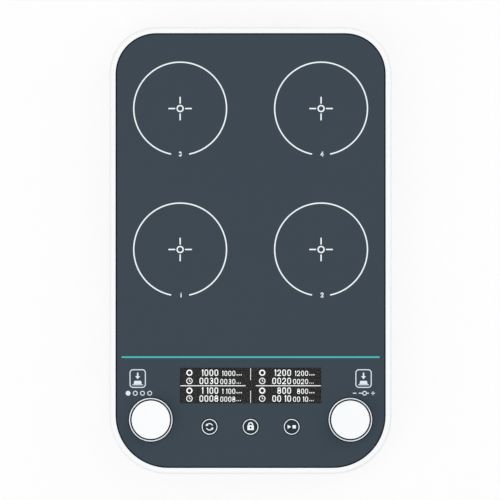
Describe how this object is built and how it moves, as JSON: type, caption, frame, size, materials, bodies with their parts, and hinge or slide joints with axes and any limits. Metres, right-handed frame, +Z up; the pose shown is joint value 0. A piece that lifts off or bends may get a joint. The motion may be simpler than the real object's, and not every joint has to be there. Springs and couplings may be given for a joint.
{
  "type": "multi-position magnetic stirrer",
  "caption": "Low rounded bench stirrer with a dark top plate marked with stirring places, a display, round keys and push-turn knobs along its front edge.",
  "frame": {"origin": "middle of the footprint at the level that the feet stand on", "axes": "+Z up, +Y from the controls to the rear, +X to the user's right"},
  "size_m": [0.2116, 0.335, 0.0685],
  "materials": {
    "white_plastic": "satin white moulding",
    "grey_plastic": "fine-textured light grey moulding",
    "slate_panel": "fine matte dark slate plate",
    "key_plastic": "matte dark slate",
    "ring_plastic": "satin light grey",
    "window_plastic": "smoked clear pane",
    "display_cell": "black display cell",
    "frame_plastic": "plain white moulding",
    "circuit_board": "green solder mask",
    "black_plastic": "fine black moulding",
    "rocker_plastic": "polished black moulding",
    "zinc_steel": "zinc plated",
    "shaft_steel": "ground steel",
    "motor_metal": "dark painted can",
    "plate_metal": "plain rolled sheet",
    "holder_plastic": "dark moulding",
    "magnet_nickel": "nickel plated",
    "encoder_metal": "pressed metal can",
    "foot_rubber": "matte black rubber",
    "motor_wire": "orange flat lead",
    "power_wire": "red flat lead",
    "ribbon_wire": "grey ribbon"
  },
  "bodies": {
    "housing": {"upper_housing": "white_plastic", "knob_bezels": "white_plastic", "base_pan": "grey_plastic", "top_panel": "slate_panel", "key_rings": "ring_plastic", "display_window": "window_plastic", "display_glass": "display_cell", "display_frame": "frame_plastic", "control_board": "circuit_board", "drive_board": "circuit_board", "control_components": "black_plastic", "drive_components": "black_plastic", "power_inlet": "black_plastic", "power_switch": "black_plastic", "control_board_screws": "zinc_steel", "drive_board_screws": "zinc_steel", "plate_screws": "zinc_steel", "motor_screws": "zinc_steel", "case_screws": "zinc_steel", "inlet_nut": "zinc_steel", "encoder_nuts": "zinc_steel", "tact_switches": "zinc_steel", "motor_1": "motor_metal", "motor_2": "motor_metal", "motor_3": "motor_metal", "motor_4": "motor_metal", "motor_plate": "plate_metal", "position_encoder": "encoder_metal", "setting_encoder": "encoder_metal", "rubber_feet": "foot_rubber", "panel_gasket": "foot_rubber", "motor_leads": "motor_wire", "power_leads": "power_wire", "ribbon_cable": "ribbon_wire"},
    "rotor_1": {"motor_shaft_1": "shaft_steel", "magnet_holder_1": "holder_plastic", "magnets_1": "magnet_nickel"},
    "rotor_2": {"motor_shaft_2": "shaft_steel", "magnet_holder_2": "holder_plastic", "magnets_2": "magnet_nickel"},
    "rotor_3": {"motor_shaft_3": "shaft_steel", "magnet_holder_3": "holder_plastic", "magnets_3": "magnet_nickel"},
    "rotor_4": {"motor_shaft_4": "shaft_steel", "magnet_holder_4": "holder_plastic", "magnets_4": "magnet_nickel"},
    "position_encoder_rotor": {"position_rotor": "holder_plastic"},
    "position_knob_body": {"position_knob": "white_plastic", "position_shaft": "shaft_steel"},
    "setting_encoder_rotor": {"setting_rotor": "holder_plastic"},
    "setting_knob_body": {"setting_knob": "white_plastic", "setting_shaft": "shaft_steel"},
    "sync_key_body": {"sync_key": "key_plastic", "sync_plunger": "black_plastic"},
    "lock_key_body": {"lock_key": "key_plastic", "lock_plunger": "black_plastic"},
    "run_key_body": {"run_key": "key_plastic", "run_plunger": "black_plastic"},
    "rocker_body": {"power_rocker": "rocker_plastic"}
  },
  "joints": [
    {"name": "stir_1", "type": "hinge", "parent": "housing", "child": "rotor_1", "pos_m": [-0.05285, 0.0008, 0.04], "axis": [0, 0, 1], "continuous": true},
    {"name": "stir_2", "type": "hinge", "parent": "housing", "child": "rotor_2", "pos_m": [0.05285, 0.0008, 0.04], "axis": [0, 0, 1], "continuous": true},
    {"name": "stir_3", "type": "hinge", "parent": "housing", "child": "rotor_3", "pos_m": [-0.05285, 0.1065, 0.04], "axis": [0, 0, 1], "continuous": true},
    {"name": "stir_4", "type": "hinge", "parent": "housing", "child": "rotor_4", "pos_m": [0.05285, 0.1065, 0.04], "axis": [0, 0, 1], "continuous": true},
    {"name": "position_knob_turn", "type": "hinge", "parent": "housing", "child": "position_encoder_rotor", "pos_m": [-0.07485, -0.1269, 0.048], "axis": [0, 0, 1], "continuous": true},
    {"name": "position_knob_press", "type": "slide", "parent": "position_encoder_rotor", "child": "position_knob_body", "axis": [0, 0, -1], "range_m": [0, 0.0015], "stiffness_N_per_m": 2000, "springref_m": -0.0015},
    {"name": "setting_knob_turn", "type": "hinge", "parent": "housing", "child": "setting_encoder_rotor", "pos_m": [0.07485, -0.1269, 0.048], "axis": [0, 0, 1], "continuous": true},
    {"name": "setting_knob_press", "type": "slide", "parent": "setting_encoder_rotor", "child": "setting_knob_body", "axis": [0, 0, -1], "range_m": [0, 0.0015], "stiffness_N_per_m": 2000, "springref_m": -0.0015},
    {"name": "sync_key_press", "type": "slide", "parent": "housing", "child": "sync_key_body", "axis": [0, 0, -1], "range_m": [0, 0.0005], "stiffness_N_per_m": 2500, "springref_m": -0.0004},
    {"name": "lock_key_press", "type": "slide", "parent": "housing", "child": "lock_key_body", "axis": [0, 0, -1], "range_m": [0, 0.0005], "stiffness_N_per_m": 2500, "springref_m": -0.0004},
    {"name": "run_key_press", "type": "slide", "parent": "housing", "child": "run_key_body", "axis": [0, 0, -1], "range_m": [0, 0.0005], "stiffness_N_per_m": 2500, "springref_m": -0.0004},
    {"name": "power_rocker_tip", "type": "hinge", "parent": "housing", "child": "rocker_body", "pos_m": [0.022, 0.1615, 0.017], "axis": [0, 0, 1], "range_deg": [0, 18]}
  ]
}
